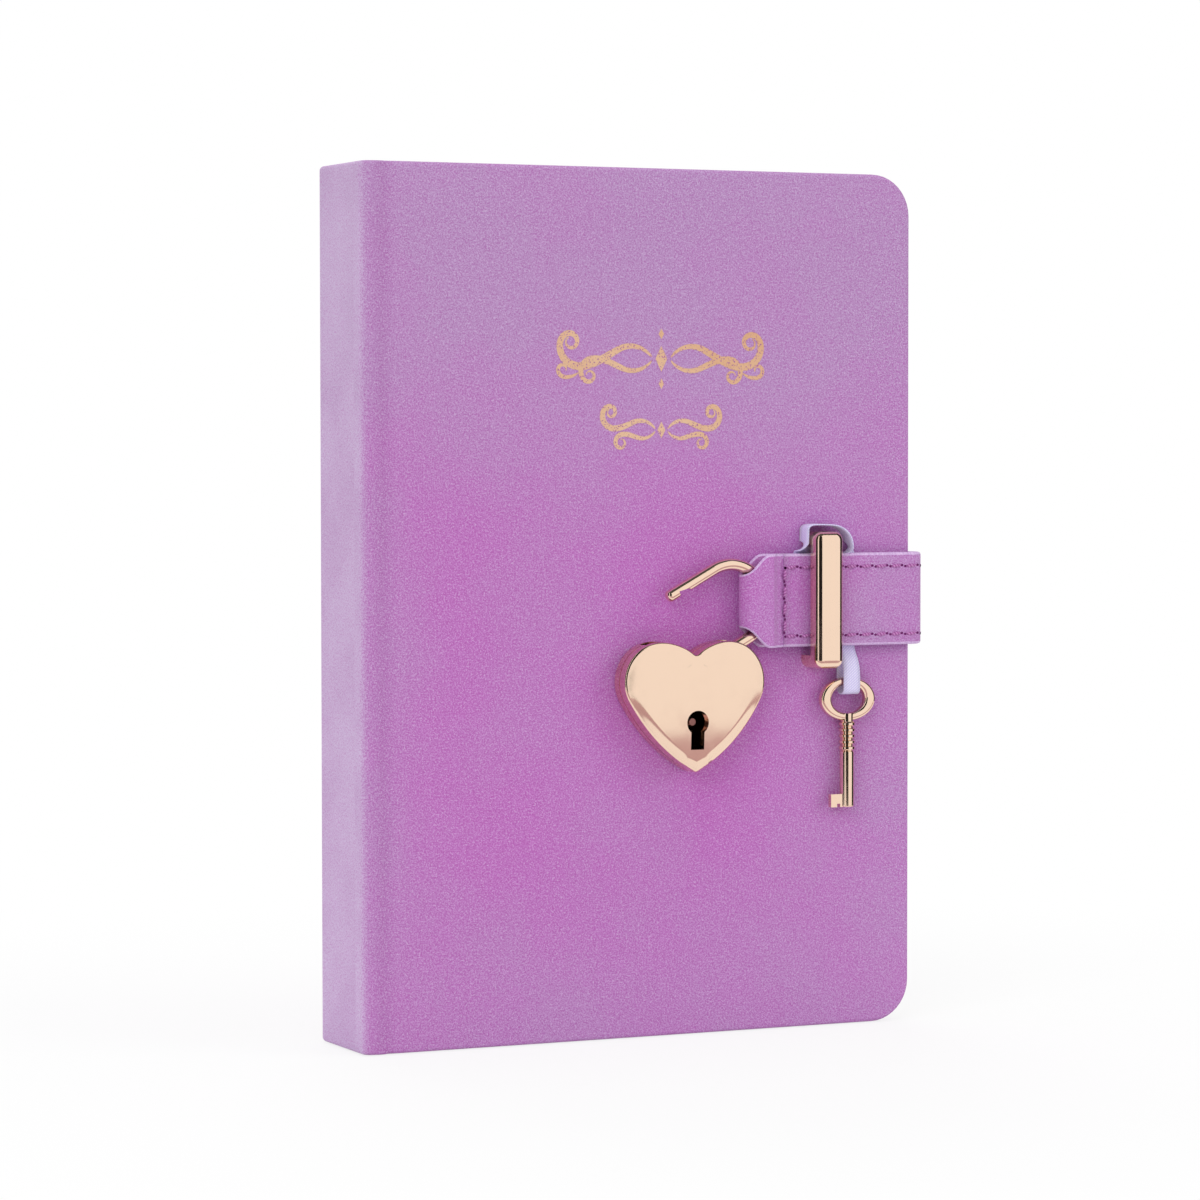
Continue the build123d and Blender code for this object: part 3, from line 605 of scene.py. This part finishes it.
# the doubled strap in plan: along the back, round the fore-edge, along the front; each with its outward side
def strapRoute(step):
    t, route = 2 * strap["ply"], []
    backY, frontY = book["thickness"] + t / 2, -strap["lift"] - t / 2
    sideX = strap["inside"] + t / 2

    def straight(start, end, outward):
        count = max(1, round((Vector(end) - Vector(start)).length / step))
        for k in range(count):
            route.append((Vector(start).lerp(Vector(end), k / count), Vector(outward)))

    def turn(centre, radius, first, last):
        for k in range(7):
            a = math.radians(first + (last - first) * k / 7)
            side = Vector((math.cos(a), math.sin(a)))
            route.append((Vector(centre) + side * radius, side))

    backCentre = (sideX - strap["bendBack"] - t / 2, backY - strap["bendBack"] - t / 2)
    frontCentre = (sideX - strap["bendFront"] - t / 2, frontY + strap["bendFront"] + t / 2)
    for dx in (0.0, 0.5, 1.2, 2.2, 3.2):
        route.append((Vector((strap["tailEnd"] + dx, backY)), Vector((0, 1))))
    straight((strap["tailEnd"] + strap["tailRound"], backY), (backCentre[0], backY), (0, 1))
    turn(backCentre, strap["bendBack"] + t / 2, 90, 0)
    straight((sideX, backCentre[1]), (sideX, frontCentre[1]), (1, 0))
    turn(frontCentre, strap["bendFront"] + t / 2, 0, -90)
    straight((frontCentre[0], frontY), (strap["frontEnd"], frontY), (0, -1))
    route.append((Vector((strap["frontEnd"], frontY)), Vector((0, -1))))
    return route


def doubledSection(half, thick):  # a ring round two plies, from the outer face over the upper edge and back
    r, h = strap["edgeRound"], thick / 2
    face = [half - r, half * 0.6, half * 0.2, -half * 0.2, -half * 0.6, -half + r]
    edge = [(h - 0.3 * r, half - 0.28 * r), (h - r, half), (0.25, half - 0.1), (0.0, half - 0.32),
            (-0.25, half - 0.1), (r - h, half), (0.3 * r - h, half - 0.28 * r)]
    ring = [(h, z) for z in reversed(face)] + edge + [(-h, z) for z in face]
    return ring + [(n, -z) for n, z in reversed(edge)]


def plySection(half, thick):
    r, h = 0.5 * thick, thick / 2
    face = [(half - r) * (1 - 2 * k / (loop["across"] - 1)) for k in range(loop["across"])]
    edge = [(h - 0.3 * r, half - 0.28 * r), (0.0, half), (0.3 * r - h, half - 0.28 * r)]
    ring = [(h, z) for z in reversed(face)] + edge + [(-h, z) for z in face]
    return ring + [(n, -z) for n, z in reversed(edge)]


# skins a row of stations with section rings; the faces that lie on a raw edge take the edge's material
def skinStations(name, stations, sections, faceCount, shift=None, run=0.0):
    middle = (strap["low"] + strap["high"]) / 2
    points, places, faces, marks = [], [], [], []
    count = len(sections[0])
    for k, (spot, outward) in enumerate(stations):
        if k:
            run += (spot - stations[k - 1][0]).length
        for n, z in sections[k]:
            plan = spot + outward * n
            aside = shift(spot, z) if shift else 0.0
            points.append(onBook(plan.x + aside, plan.y, middle + z))
            places.append((run * mm, (z + n) * mm))
    edgeCount = (count - 2 * faceCount) // 2
    for k in range(len(stations) - 1):
        for i in range(count):
            j = (i + 1) % count
            faces.append((k * count + i, k * count + j, (k + 1) * count + j, (k + 1) * count + i))
            onFace = i < faceCount - 1 or faceCount + edgeCount <= i < 2 * faceCount + edgeCount - 1
            marks.append(0 if onFace else 1)
    faces.append(tuple(range(count)))
    faces.append(tuple(reversed(range((len(stations) - 1) * count, len(stations) * count))))
    marks += [1, 1]
    return newPiece(name, points, faces, [strapSkin, strapEdge], marks, places)


def strapHalf(spot, outward):
    half = (strap["high"] - strap["low"]) / 2
    past = spot.x - strap["tailEnd"]
    if outward.y > 0.9 and past < strap["tailRound"]:
        short = strap["tailRound"] - past
        half -= strap["tailRound"] - math.sqrt(max(strap["tailRound"] ** 2 - short ** 2, 0.04))
    return half


def routeLength(route):
    return sum((route[k][0] - route[k - 1][0]).length for k in range(1, len(route)))


route = strapRoute(2.4)
print("strap length", round(routeLength(route), 2))
strapBand = skinStations("strapBand", route, [doubledSection(strapHalf(*s), 2 * strap["ply"]) for s in route], 6)
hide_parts("strap_tail")
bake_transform(strapBand)

stitch = {"pitch": 3.9, "length": 2.6, "radius": 0.42, "rise": 0.2, "lean": 0.1, "upper": 105.9, "lower": 90.2,
          "fromEnd": 0.6, "fromTail": 3.0, "crossAt": 102.0, "crossLow": 91.2, "crossHigh": 106.4, "crossLean": 0.15,
          "hole": 0.3, "holeLong": 1.25, "holeProud": 0.02, "holePast": 0.2}
loop = {"start": 103.0, "meet": 101.9, "crest": 100.9, "full": 98.0, "turnAt": 93.6, "fold": 2.4,
        "frontDepth": 5.6, "backDepth": 0.93, "joinDepth": 2.72, "swell": 0.85, "backJoin": 1.6, "ply": 1.02,
        "endHalf": 6.0, "shoulder": 6.5, "across": 25, "wave": 0.2, "wavePast": 0.4, "waveWidth": 0.9}


def loopStations():
    stations = []

    def lay(xs, depthAt, sign):
        for x in xs:
            slope = (depthAt(x + 0.05) - depthAt(x - 0.05)) / 0.1
            side = Vector((slope * sign, -sign)).normalized()
            stations.append((Vector((x, -depthAt(x))), side))

    def front(x):
        swell = loop["swell"] * (1 - smoothStep(loop["crest"], loop["meet"], x))
        rest = loop["frontDepth"] - loop["joinDepth"] - loop["swell"]
        return loop["joinDepth"] + swell + rest * (1 - smoothStep(loop["full"], loop["crest"], x))

    def back(x):
        rest = loop["backJoin"] - loop["backDepth"]
        return loop["backDepth"] + rest * smoothStep(loop["full"], loop["meet"], x)

    span, fold = loop["start"] - loop["turnAt"], loop["fold"]
    lay([loop["start"] - fold * k / 12 for k in range(12)], front, 1)
    lay([loop["start"] - fold - (span - fold) * k / 14 for k in range(14)], front, 1)
    radius = (loop["frontDepth"] - loop["backDepth"]) / 2
    centre = Vector((loop["turnAt"], -(loop["frontDepth"] + loop["backDepth"]) / 2))
    for k in range(11):
        a = math.radians(-90 - 180 * k / 10)
        side = Vector((math.cos(a), math.sin(a)))
        stations.append((centre + side * radius, side))
    lay([loop["turnAt"] + span * k / 12 for k in range(1, 13)], back, -1)
    return stations


def loopHalf(x):
    full = (strap["high"] - strap["low"]) / 2
    tip = loop["turnAt"] - (loop["frontDepth"] - loop["backDepth"]) / 2 - loop["ply"] / 2
    return loop["endHalf"] + (full - loop["endHalf"]) * smoothStep(tip, tip + loop["shoulder"], x)


def seamWave(spot, z):  # the skin swells over the cross seam between its stitches
    near = math.exp(-((spot.x - loop["crest"] - loop["wavePast"]) / loop["waveWidth"]) ** 2)
    return loop["wave"] * near * math.sin(2 * math.pi * z / stitch["pitch"] + 0.7 * math.sin(0.5 * z))


stations = loopStations()
strapLoop = skinStations("strapLoop", stations, [plySection(loopHalf(s[0].x), loop["ply"]) for s in stations],
                         loop["across"], seamWave, routeLength(route))
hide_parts("strap_tongue")
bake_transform(strapLoop)
print("strap done")


# a run of thread that leaves one needle hole and dives into the next
def addStitch(points, faces, places, start, end, outward):
    along = (end - start).normalized()
    side = along.cross(outward)
    base, rings, spokes = len(points), 9, 8
    for k in range(rings):
        t = k / (rings - 1)
        arch = math.sin(math.pi * t)
        middle = start.lerp(end, t) + outward * (stitch["rise"] * (1.6 * arch - 0.6)) * mm
        girth = stitch["radius"] * (0.35 + 0.65 * arch ** 0.5) * mm
        for s in range(spokes):
            a = 2 * math.pi * s / spokes
            points.append(middle + (side * math.cos(a) + outward * math.sin(a) * 0.8) * girth)
            places.append((t * stitch["length"] * mm, s / spokes * 2 * stitch["radius"] * mm))
    for k in range(rings - 1):
        for s in range(spokes):
            n = (s + 1) % spokes
            faces.append((base + k * spokes + s, base + k * spokes + n, base + (k + 1) * spokes + n,
                          base + (k + 1) * spokes + s))
    faces.append(tuple(base + s for s in reversed(range(spokes))))
    faces.append(tuple(base + (rings - 1) * spokes + s for s in range(spokes)))


# a dark disc at a stitch end, painted shade of a needle hole
def addHoleShade(points, faces, spot, along, outward):
    side = along.cross(outward)
    base = len(points)
    for s in range(10):
        a = 2 * math.pi * s / 10
        points.append(spot + (along * math.cos(a) * stitch["holeLong"] + side * math.sin(a)) * stitch["hole"] * mm
                      + outward * stitch["holeProud"] * mm)
    faces.append(tuple(base + s for s in range(10)))


def sewStrap():
    threads, holeShadeParts = ([], [], []), ([], [])
    half = strap["ply"]
    fine = strapRoute(0.5)
    run = [0.0]
    for k in range(1, len(fine)):
        run.append(run[-1] + (fine[k][0] - fine[k - 1][0]).length)

    def at(length, z):
        for k in range(1, len(fine)):
            if run[k] >= length:
                t = (length - run[k - 1]) / max(run[k] - run[k - 1], 1e-6)
                plan = fine[k - 1][0].lerp(fine[k][0], t)
                side = fine[k - 1][1].lerp(fine[k][1], t).normalized()
                plan = plan + side * half
                return onBook(plan.x, plan.y, z), Vector((side.x, side.y, 0.0))

    def sew(start, end, outward):
        addStitch(*threads, start, end, outward)
        along = (end - start).normalized()
        addHoleShade(*holeShadeParts, start - along * stitch["holePast"] * mm, along, outward)
        addHoleShade(*holeShadeParts, end + along * stitch["holePast"] * mm, along, outward)

    for z in (stitch["upper"], stitch["lower"]):
        reach = run[-1] - stitch["fromEnd"]
        while reach - stitch["length"] > stitch["fromTail"]:
            start, _ = at(reach, z - stitch["lean"])
            end, _ = at(reach - stitch["length"], z + stitch["lean"])
            _, outward = at(reach - stitch["length"] / 2, z)
            sew(start, end, outward)
            reach -= stitch["pitch"]
    z, front = stitch["crossLow"], -strap["lift"] - 2 * half
    while z + stitch["length"] < stitch["crossHigh"]:
        sew(onBook(stitch["crossAt"], front, z),
            onBook(stitch["crossAt"] + stitch["crossLean"], front, z + stitch["length"]), Vector((0, -1, 0)))
        z += stitch["pitch"]
    sewn = newPiece("strapStitches", threads[0], threads[1], [stitchThread], places=threads[2])
    holeShadePiece = newPiece("holeShadeDiscs", holeShadeParts[0], holeShadeParts[1], [holeShade])
    for piece in (sewn, holeShadePiece):
        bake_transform(piece)


sewStrap()
print("stitches done")

# the ribbon's line, from under the strap round the keeper's top, down through the key's bow and back
ribbon = {"width": 4.2, "thick": 0.3, "route": [
    (107.8, -0.45, 101.0, 0), (107.8, -0.45, 106.0, 0), (107.7, -0.6, 109.2, 10), (107.7, -2.3, 110.6, 90),
    (107.7, -2.4, 113.0, 90), (107.7, -2.4, 115.5, 90), (111.0, -2.4, 115.6, 90), (115.8, -2.4, 115.4, 90),
    (118.6, -2.4, 113.4, 90), (119.4, -2.3, 110.8, 90), (119.5, -0.75, 109.2, 10), (119.5, -0.8, 106.0, 0),
    (119.3, -0.8, 98.0, 0), (119.2, -0.8, 90.5, 0), (119.2, -0.95, 87.0, 0), (119.2, -3.7, 83.5, 0),
    (119.2, -4.0, 79.5, 0), (119.2, -3.9, 76.6, 0), (119.2, -0.8, 76.6, 0), (119.2, -0.6, 79.5, 0),
    (119.2, -0.6, 83.5, 0), (119.2, -0.45, 87.0, 0), (119.2, -0.42, 92.0, 0)]}


def ribbonLine():
    curve = bpy.data.curves.new("ribbonLine", "CURVE")
    curve.dimensions = "3D"
    spline = curve.splines.new("NURBS")
    spline.points.add(len(ribbon["route"]) - 1)
    for point, (x, y, z, _) in zip(spline.points, ribbon["route"]):
        point.co = (*onBook(x, y, z), 1.0)
    spline.order_u = 3
    spline.use_endpoint_u = True
    spline.resolution_u = 10
    holder = bpy.data.objects.new("ribbonLine", curve)
    bpy.context.collection.objects.link(holder)
    bpy.context.view_layer.update()
    mesh = bpy.data.meshes.new_from_object(holder.evaluated_get(bpy.context.evaluated_depsgraph_get()))
    line = [v.co.copy() for v in mesh.vertices]
    bpy.data.objects.remove(holder)
    return line


def layRibbon():
    line = ribbonLine()
    leans = [entry[3] for entry in ribbon["route"]]
    points, places, faces, run = [], [], [], 0.0
    half, thick = ribbon["width"] / 2 * mm, ribbon["thick"] / 2 * mm
    section = ((-1, -1), (-0.35, -1), (0.35, -1), (1, -1), (1, 1), (0.35, 1), (-0.35, 1), (-1, 1))
    count = len(section)
    for k, spot in enumerate(line):
        if k:
            run += (spot - line[k - 1]).length
        share = k / (len(line) - 1) * (len(leans) - 1)
        before = min(int(share), len(leans) - 2)
        lean = leans[before] + (leans[before + 1] - leans[before]) * (share - before)
        along = (line[min(k + 1, len(line) - 1)] - line[max(k - 1, 0)]).normalized()
        wide = Vector((math.cos(math.radians(lean)), math.sin(math.radians(lean)), 0.0))
        wide = (wide - along * wide.dot(along)).normalized()
        normal = along.cross(wide)
        for s, t in section:
            points.append(spot + wide * half * s + normal * thick * t)
            places.append((half * s, run))
    for k in range(len(line) - 1):
        for i in range(count):
            j = (i + 1) % count
            faces.append((k * count + i, k * count + j, (k + 1) * count + j, (k + 1) * count + i))
    faces.append(tuple(reversed(range(count))))
    faces.append(tuple(range(len(points) - count, len(points))))
    strip = newPiece("keyRibbon", points, faces, [ribbonSatin], places=places)
    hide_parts("ribbon")
    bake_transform(strip)
    print("ribbon length", round(run, 4))


layRibbon()
print("ribbon done")

# a pressed ornament of mirrored scrolls round a lozenge
foil = {"middle": 72.5, "upper": 153.2, "lower": 137.2, "proud": 0.03, "layer": 0.004, "strokes": [
    (2.4, "upper", 0.4, 52, 1.8, [(9, -0.15, -0.15), (10, -0.04, 0.11), (9, 0.17, 0.26), (12, 0.34, 0.9)]),
    (2.4, "upper", -0.4, -52, 1.45, [(8, 0.16, 0.16), (8, 0.04, -0.16), (6, -0.3, -0.4), (7, -0.5, -1.2)]),
    (20.6, "upper", -3.2, -35, 1.0, [(4, 0.12, 0.3), (6, 0.5, 1.3)]),
    (1.6, "lower", 0.3, 55, 1.4, [(6, -0.22, -0.22), (5, -0.05, 0.2), (6, 0.3, 0.42), (8, 0.5, 1.3)]),
    (1.6, "lower", -0.3, -55, 1.15, [(5, 0.25, 0.25), (4, 0.05, -0.3), (8, -0.45, -1.2)])],
    "lozenges": [("upper", 0.0, 1.5, 2.9), ("upper", 5.6, 0.7, 1.2), ("upper", -5.6, 0.7, 1.2),
                 ("lower", 0.0, 1.0, 1.9)]}


# a scroll drawn by its bends: each run has a length and the curvature it begins and ends with
def scroll(x, z, heading, width, runs):
    angle, edge, gone = math.radians(heading), [], 0.0
    total = sum(run[0] for run in runs)
    for length, first, last in runs:
        steps = max(8, round(length * 3))
        for k in range(steps):
            t = k / steps
            share = min((gone + length * t) / total * 1.04, 1.0)
            edge.append((x, z, angle, width * (0.2 + 0.8 * math.sin(math.pi * share) ** 0.7) / 2))
            angle += (first + (last - first) * t) * length / steps
            x += math.cos(angle) * length / steps
            z += math.sin(angle) * length / steps
        gone += length
    return edge


def pressFoil():
    points, faces = [], []
    for number, (x, row, lift, heading, width, runs) in enumerate(foil["strokes"]):
        stroke = scroll(x, foil[row] + lift, heading, width, runs)
        y = -foil["proud"] - foil["layer"] * number
        for side in (1, -1):
            base = len(points)
            for x, z, angle, girth in stroke:
                for way in (1, -1):
                    points.append(onBook(foil["middle"] + side * (x - way * girth * math.sin(angle)), y,
                                         z + way * girth * math.cos(angle)))
            for k in range(len(stroke) - 1):
                quad = (base + 2 * k, base + 2 * k + 1, base + 2 * k + 3, base + 2 * k + 2)
                faces.append(quad if side > 0 else tuple(reversed(quad)))
    for row, lift, wide, tall in foil["lozenges"]:
        base = len(points)
        for dx, dz in ((-1, 0), (0, -1), (1, 0), (0, 1)):
            points.append(onBook(foil["middle"] + dx * wide, -foil["proud"], foil[row] + lift + dz * tall))
        faces.append((base, base + 1, base + 2, base + 3))
    piece = newPiece("foilOrnament", points, faces, [foilLeaf])
    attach(piece, "front_cover")


pressFoil()
print("foil done")

studio = {"skyDiffuse": 0.45, "floor": (0.92, 0.92, 0.92, 1.0), "floorReach": 500, "floorDrop": 0.2,
          "floorGlow": 0.8, "glowSpan": (0.09, 0.3), "aim": (70, 0, 100),
          "lamps": [("lampLeft", (-900, -900, 800), 900, 7.4), ("lampRight", (900, -700, 500), 700, 3.0),
                    ("lampTop", (60, -100, 1100), 900, 3.6), ("lampBack", (300, 1100, 600), 900, 5.0)]}

# cards for the metal to mirror, hidden from the camera: wings in degrees round the book, 0 in front
cards = {"black": (0.03, 0.03, 0.03, 1.0), "wings": [(-135, -62), (-46, 1), (62, 150)], "away": 2000, "step": 6,
         "foot": -700, "top": 3600, "grey": (0.2, 0.2, 0.2, 1.0),
         "rose": (0.56, 0.4, 0.44, 1.0), "roseBox": (-260, -400, 520, -110), "roseLift": 0.2}


def setCard(name, points, faces, colour):
    mesh = bpy.data.meshes.new(name)
    mesh.from_pydata(points, [], faces)
    material = bpy.data.materials.new(name)
    tree = bareTree(material)
    matt = addNode(tree, "BsdfDiffuse", {"Color": colour})
    tree.links.new(matt.outputs[0], addNode(tree, "OutputMaterial").inputs[0])
    mesh.materials.append(material)
    card = bpy.data.objects.new(name, mesh)
    card.visible_camera = card.visible_diffuse = card.visible_shadow = False
    bpy.context.collection.objects.link(card)


def setCards():
    def onRing(turn, z):
        side = math.radians(turn)
        return onBook(studio["aim"][0] + cards["away"] * math.sin(side), -cards["away"] * math.cos(side), z)

    for number, (first, last) in enumerate(cards["wings"]):
        steps = max(2, round((last - first) / cards["step"]))
        turns = [first + (last - first) * k / steps for k in range(steps + 1)]
        points = [onRing(turn, z) for turn in turns for z in (cards["foot"], cards["top"])]
        faces = [(2 * k, 2 * k + 2, 2 * k + 3, 2 * k + 1) for k in range(steps)]
        setCard(f"blackCard{number}", points, faces, cards["black"])
    roof = [onRing(turn, cards["top"]) for turn in range(0, 360, cards["step"])]
    setCard("greyCard", roof, [tuple(range(len(roof)))], cards["grey"])
    left, front, right, back = cards["roseBox"]
    corners = ((left, front), (right, front), (right, back), (left, back))
    setCard("roseCard", [onBook(x, y, cards["roseLift"]) for x, y in corners], [(0, 1, 2, 3)], cards["rose"])


# the camera, metal and glass all see the white surroundings
def seenDirect(tree):
    path = addNode(tree, "LightPath")
    mirrored = mathNode(tree, "MAXIMUM", path.outputs["Is Glossy Ray"], path.outputs["Is Transmission Ray"])
    return mathNode(tree, "MAXIMUM", path.outputs["Is Camera Ray"], mirrored)


def lightStudio():
    world = bpy.data.worlds.new("studioSky")
    tree = bareTree(world)
    soft = addNode(tree, "Background", {"Color": (1, 1, 1, 1), "Strength": studio["skyDiffuse"]})
    clear = addNode(tree, "Background", {"Color": (1, 1, 1, 1), "Strength": 1.0})
    both = addNode(tree, "MixShader", {0: seenDirect(tree), 1: soft.outputs[0], 2: clear.outputs[0]})
    tree.links.new(both.outputs[0], addNode(tree, "OutputWorld").inputs[0])
    bpy.context.scene.world = world
    for name, place, size, power in studio["lamps"]:
        lamp = bpy.data.lights.new(name, "AREA")
        lamp.size = size * mm
        lamp.energy = power
        holder = bpy.data.objects.new(name, lamp)
        spot = onBook(*place)
        aim = onBook(*studio["aim"]) - spot
        holder.matrix_world = Matrix.Translation(spot) @ aim.to_track_quat("-Z", "Y").to_matrix().to_4x4()
        holder.visible_glossy = False
        bpy.context.collection.objects.link(holder)


def layFloor():
    reach = studio["floorReach"] * mm
    floorMesh = bpy.data.meshes.new("studioFloor")
    corners = [(-reach, -reach, 0), (reach, -reach, 0), (reach, reach, 0), (-reach, reach, 0)]
    floorMesh.from_pydata(corners, [], [(0, 1, 2, 3)])
    material = bpy.data.materials.new("studioFloor")
    tree = bareTree(material)
    away = addNode(tree, "VectorMath", {0: objectPlace(tree)}, operation="LENGTH").outputs["Value"]
    glow = mapRange(tree, away, *studio["glowSpan"], studio["floorGlow"], 1.0)  # the shadow stays near the book
    share = mathNode(tree, "MULTIPLY", seenDirect(tree), glow)
    matt = addNode(tree, "BsdfDiffuse", {"Color": studio["floor"]})
    white = addNode(tree, "Emission", {"Color": (1, 1, 1, 1), "Strength": 1.0})
    both = addNode(tree, "MixShader", {0: share, 1: matt.outputs[0], 2: white.outputs[0]})
    tree.links.new(both.outputs[0], addNode(tree, "OutputMaterial").inputs[0])
    floorMesh.materials.append(material)
    floorPiece = bpy.data.objects.new("studioFloor", floorMesh)
    floorPiece.location.z = -studio["floorDrop"] * mm
    bpy.context.collection.objects.link(floorPiece)


camera = {"place": (-343.5, -855.4, 136.0), "yaw": 25.1, "pitch": 2.235, "roll": -0.056,
          "pixels": 4218, "frame": 1200, "sensor": 36.0, "near": 0.01}


def placeCamera():
    yaw, pitch = math.radians(camera["yaw"]), math.radians(camera["pitch"])
    ahead = Vector((math.sin(yaw) * math.cos(pitch), math.cos(yaw) * math.cos(pitch), -math.sin(pitch)))
    lens = bpy.data.cameras.new("photoCamera")
    lens.sensor_width = camera["sensor"]
    lens.lens = camera["pixels"] / camera["frame"] * lens.sensor_width
    lens.clip_start = camera["near"]
    holder = bpy.data.objects.new("photoCamera", lens)
    holder.matrix_world = (Matrix.Translation(onBook(*camera["place"]))
                           @ ahead.to_track_quat("-Z", "Y").to_matrix().to_4x4()
                           @ Matrix.Rotation(math.radians(camera["roll"]), 4, "Z"))
    bpy.context.collection.objects.link(holder)
    bpy.context.scene.camera = holder


lightStudio()
layFloor()
setCards()
placeCamera()
bpy.context.scene.view_settings.view_transform = "Standard"
print("studio done")
